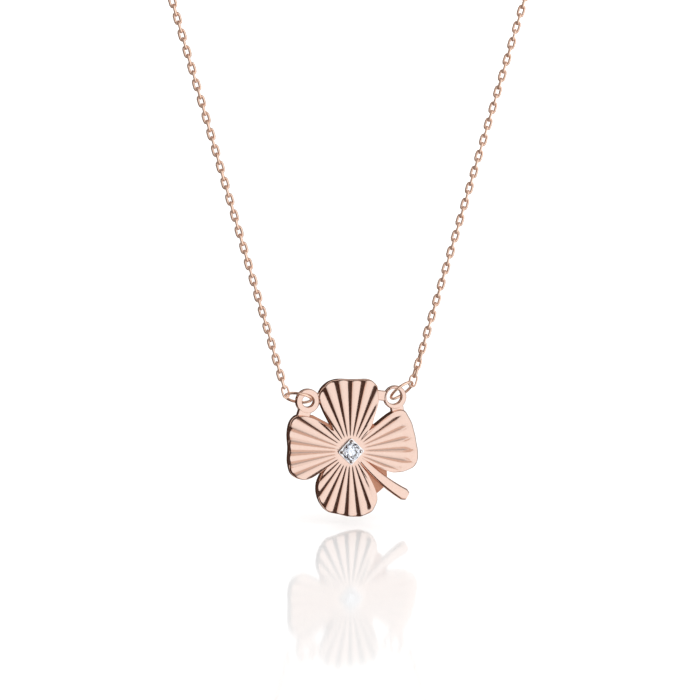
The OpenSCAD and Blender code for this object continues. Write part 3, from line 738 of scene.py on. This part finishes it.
# %% The barrel and its eyes
def barrel():
    """A profile of distance from the line against place along it, spun about X: a flat end, a quarter-round
    shoulder, a straight wall with a fine groove in the middle, and the same again."""
    r, half, shoulder, groove = CLASP_D / 2, CLASP_L / 2, 0.3, 0.05
    bend = np.radians(np.linspace(0, 90, 7))
    end_x = half - shoulder * (1 - np.cos(bend))
    end_r = r - shoulder * (1 - np.sin(bend))
    x = np.concatenate([[half], end_x, [groove, 0, -groove], -end_x[::-1], [-half]])
    out = np.concatenate([[0], end_r, [r, r - groove, r], end_r[::-1], [0]])
    turn = np.radians(np.arange(0, 360, 7.5))
    return shell(in_plane(x[:, None], out[:, None] * np.cos(turn), out[:, None] * np.sin(turn)), loop=False)


eye_r = (EYE_D - EYE_WIRE) / 2
eye = torus(eye_r, EYE_WIRE, around=48, section=14) @ turn_about("X", 90).T
eyes = [shell(eye + [end * (CLASP_L / 2 + eye_r - EYE_SINK), 0, 0]) for end in (-1, 1)]
clasp = together(barrel(), *eyes)
piece("barrel_clasp", (clasp[0] + [0, CLASP_D / 2, 0], clasp[1]), "chain", wire_gold, "clasp")

# %% [markdown]
# ## The floor
# The photograph has a white ground that mirrors the pendant faintly. That ground could be a curved sheet,
# as in a studio. One flat plane does, because the background is white as well, so where it ends can't be
# seen. A low refractive index makes its mirror image weak, and a little roughness makes it soft. The metal
# doesn't mirror the floor.

# %% The floor
FLOOR_Z, FLOOR_REACH = STONE_AT[2] - 8.1, 6000


def stage_piece(name, corners, colour, glows=False, roughness=0.5):
    """A flat four-cornered card or floor, its corners in millimetres. A card glows in its colour."""
    mesh = bpy.data.meshes.new(name)
    mesh.from_pydata((np.asarray(corners, float) * MM).tolist(), [], [(0, 1, 2, 3)])
    made = bpy.data.materials.new(name)
    made.use_nodes = True
    shader = made.node_tree.nodes["Principled BSDF"]
    shader.inputs["Base Color"].default_value = linear("000000" if glows else colour)
    shader.inputs["Roughness"].default_value = roughness
    if glows:
        shader.inputs["Emission Color"].default_value = linear(colour)
        shader.inputs["Emission Strength"].default_value = 1.0
        made.cycles.emission_sampling = "NONE"
    mesh.materials.append(made)
    obj = bpy.data.objects.new(name, mesh)
    bpy.context.scene.collection.objects.link(obj)
    return obj, shader


corners = [[x * FLOOR_REACH, y * FLOOR_REACH, FLOOR_Z] for x, y in ((-1, -1), (1, -1), (1, 1), (-1, 1))]
floor, floor_shader = stage_piece("pale_floor", corners, "F7F7F7", roughness=0.08)
floor_shader.inputs["IOR"].default_value = 1.3
floor.visible_glossy = False
print("Floor at", FLOOR_Z, "mm")

# %% [markdown]
# ## The cards round the pendant
# A mirror-bright metal shows its surroundings, so its look is mostly what it mirrors. A photographer stands
# dark flags and pale shades round the piece, out of the picture. A picture of a studio could be wrapped
# round the scene for this, but flat cards can be moved one by one until each line falls where it should. A
# dark flag left of the camera, with an arm below and an arm above, draws the dark line on the left slope
# of each flute. Two soft shades draw the paler lines of the top and bottom petals, and one more flag stands
# far to the left. The cards are far away, so that they look the same from every part of the pendant. Only
# the metal and the stone show them.

# %% The cards
CARD_AWAY = 20000


def toward(azimuth, elevation):
    """The direction from the stone to that azimuth and elevation. Azimuth 0 is straight in front of the
    pendant, positive to the right."""
    a, e = math.radians(azimuth), math.radians(elevation)
    return np.array([math.sin(a) * math.cos(e), -math.cos(a) * math.cos(e), math.sin(e)])


def card(name, azimuth, elevation, wide, high, colour):
    """A card that faces the stone from that direction. It looks as many degrees wide and high as given:
    its width is 2 × distance × tan(angle / 2). It is hidden from the camera and casts no shadow."""
    width, height = (2 * CARD_AWAY * math.tan(math.radians(angle / 2)) for angle in (wide, high))
    away, across = toward(azimuth, elevation), toward(azimuth + 90, 0)
    upward = np.cross(across, -away)
    corners = [STONE_AT + away * CARD_AWAY + across * x * width / 2 + upward * z * height / 2
               for x, z in ((-1, -1), (1, -1), (1, 1), (-1, 1))]
    obj, _ = stage_piece(name, corners, colour, glows=True)
    obj.visible_camera = False
    obj.visible_diffuse = False
    obj.visible_shadow = False
    return obj


FLAG_HEX = "3A2013"
card("dark_flag", -42.5, 6, 47, 96.7, FLAG_HEX)
card("dark_flag_low_arm", -35, -55, 37.3, 36, FLAG_HEX)
card("dark_flag_high_arm", -32, 37, 43.6, 30.8, FLAG_HEX)
card("table_shade", 8, -58, 29.3, 31.9, "DCC6BA")
card("ceiling_shade", 12, 46, 34.4, 21.6, "E0CABE")
card("dark_flag_side", -107, -4, 44, 60, FLAG_HEX)
print("Cards in place")

# %% [markdown]
# ## The room
# The room is white in front and dark at the sides and behind, with one paler band, which is what the edges
# of the plate show. It could be modelled as walls. Here it is a ramp of whites and browns over the angle to
# the room's axis, so each band can be moved by one number. Only mirror images show it: the camera sees
# plain white, and so does the stone where light passes through it.

# %% The room
ROOM_TURN, ROOM_DROP = math.radians(18), math.radians(8)
ROOM_AXIS = unit([math.sin(ROOM_TURN), -math.cos(ROOM_TURN), -math.tan(ROOM_DROP)])
ROOM_WHITE, ROOM_DARK, ROOM_SIDE = 1.08, "3C281D", "EBDFD8"
ROOM_TONES = ((180, ROOM_DARK), (146, ROOM_DARK), (134, ROOM_SIDE), (116, ROOM_SIDE),
              (104, ROOM_DARK), (78, ROOM_DARK), (60, "F4F4F4"), (0, "FFFFFF"))
world = bpy.data.worlds.new("white_room")
bpy.context.scene.world = world
world.use_nodes = True
tree = world.node_tree
tree.nodes.clear()
way = add(tree, "ShaderNodeTexCoord").outputs["Generated"]
along = add(tree, "ShaderNodeVectorMath", {"operation": "DOT_PRODUCT"}, {0: way, 1: ROOM_AXIS.tolist()})
share = add(tree, "ShaderNodeMapRange", inputs={
    "Value": along.outputs["Value"], "From Min": -1.0, "From Max": 1.0})
tone = add(tree, "ShaderNodeValToRGB", inputs={"Fac": share.outputs["Result"]})
ramp = tone.color_ramp
for k, (degrees, colour) in enumerate(ROOM_TONES):
    at = (math.cos(math.radians(degrees)) + 1) / 2
    stop = ramp.elements.new(at) if k > 1 else ramp.elements[k]
    stop.position = at
    stop.color = linear(colour)
mirrored = add(tree, "ShaderNodeBackground", inputs={
    "Color": tone.outputs["Color"], "Strength": ROOM_WHITE})
seen = add(tree, "ShaderNodeBackground", inputs={"Color": linear("FFFFFF"), "Strength": ROOM_WHITE})
ray = add(tree, "ShaderNodeLightPath")
mirror_share = add(tree, "ShaderNodeMath", {"operation": "SUBTRACT"}, {
    0: ray.outputs["Is Glossy Ray"], 1: ray.outputs["Is Transmission Ray"]})
mix = add(tree, "ShaderNodeMixShader", inputs={
    0: mirror_share.outputs[0], 1: seen.outputs[0], 2: mirrored.outputs[0]})
add(tree, "ShaderNodeOutputWorld", inputs={"Surface": mix.outputs[0]})
print("Room:", len(ROOM_TONES), "tones from behind to in front")

# %% [markdown]
# ## The lamps
# The floor would mirror the dark side of the room, so it has a white tent of four wide lamps to itself.
# Two wide, weaker ones lift the jump rings and the links alone, which are paler in the photograph than the
# edges of the pendant. These could be cards too, but a lamp can be linked to the pieces it lights, and a
# card can't. The key light stands high on the right and doesn't show in the metal.

# %% The lamps
TENT_AWAY, TENT_SIZE, TENT_RISE, TENT_WATTS, FILL_WATTS = 5900, 11800, 8, 557, 130


def soft_light(name, azimuth, elevation, distance, size, watts):
    """A square area light that faces the stone, its distance and size in millimetres."""
    lamp = bpy.data.lights.new(name, "AREA")
    lamp.size = size * MM
    lamp.energy = watts
    obj = bpy.data.objects.new(name, lamp)
    bpy.context.scene.collection.objects.link(obj)
    obj.location = (STONE_AT + toward(azimuth, elevation) * distance) * MM
    obj.rotation_euler = (math.radians(90 - elevation), 0, math.radians(azimuth))
    return obj


soft_light("key_light", 30, 55, distance=500, size=260, watts=0.15).visible_glossy = False
only_floor = bpy.data.collections.new("mirrors_the_white_tent")
only_floor.objects.link(floor)
for azimuth in (162, 72, -18, -108):
    tent = soft_light(f"white_tent_{azimuth % 360}", azimuth, TENT_RISE, TENT_AWAY, TENT_SIZE, TENT_WATTS)
    tent.visible_diffuse = False
    tent.visible_camera = False
    tent.light_linking.receiver_collection = only_floor
only_wires = bpy.data.collections.new("lifted_by_the_side_fill")
for wire in wires:
    only_wires.objects.link(wire)
for azimuth in (72, -108):
    fill = soft_light(f"side_fill_{azimuth % 360}", azimuth, TENT_RISE, TENT_AWAY, TENT_SIZE, FILL_WATTS)
    fill.visible_camera = False
    fill.light_linking.receiver_collection = only_wires
print("Key light, tent and side fills ready")

# %% [markdown]
# ## The camera
# The photograph was taken with a long lens from about 18 degrees to the left and 8 degrees above, as its
# ovals tell. The camera could be moved by hand until the view fits. Here it stands in that direction, and
# its distance is the width of the picture at the stone × the lens / the sensor, so that a length in the
# picture can be worked out in millimetres.

# %% The camera
CAMERA_AZIMUTH, CAMERA_ELEVATION, FRAME_WIDTH, LENS, SENSOR = -18.0, 8.0, 75.3, 150, 36
STONE_RIGHT_OF_CENTRE, STONE_BELOW_CENTRE = 0.16, 10.95
away, right = toward(CAMERA_AZIMUTH, CAMERA_ELEVATION), toward(CAMERA_AZIMUTH + 90, 0)
aim = (STONE_AT + [0, GIRDLE_Y, 0] - right * STONE_RIGHT_OF_CENTRE
       + np.cross(right, -away) * STONE_BELOW_CENTRE)
lens = bpy.data.cameras.new("camera")
lens.lens = LENS
lens.sensor_width = SENSOR
lens.clip_start = 0.01
lens.clip_end = 30
camera = bpy.data.objects.new("camera", lens)
bpy.context.scene.collection.objects.link(camera)
camera.location = (aim + away * FRAME_WIDTH * LENS / SENSOR) * MM
camera.rotation_euler = (math.radians(90 - CAMERA_ELEVATION), 0, math.radians(CAMERA_AZIMUTH))
bpy.context.scene.camera = camera
bpy.context.scene.view_settings.view_transform = "Standard"
print("Camera", np.round(np.array(camera.location) * 1000).tolist(), "mm")
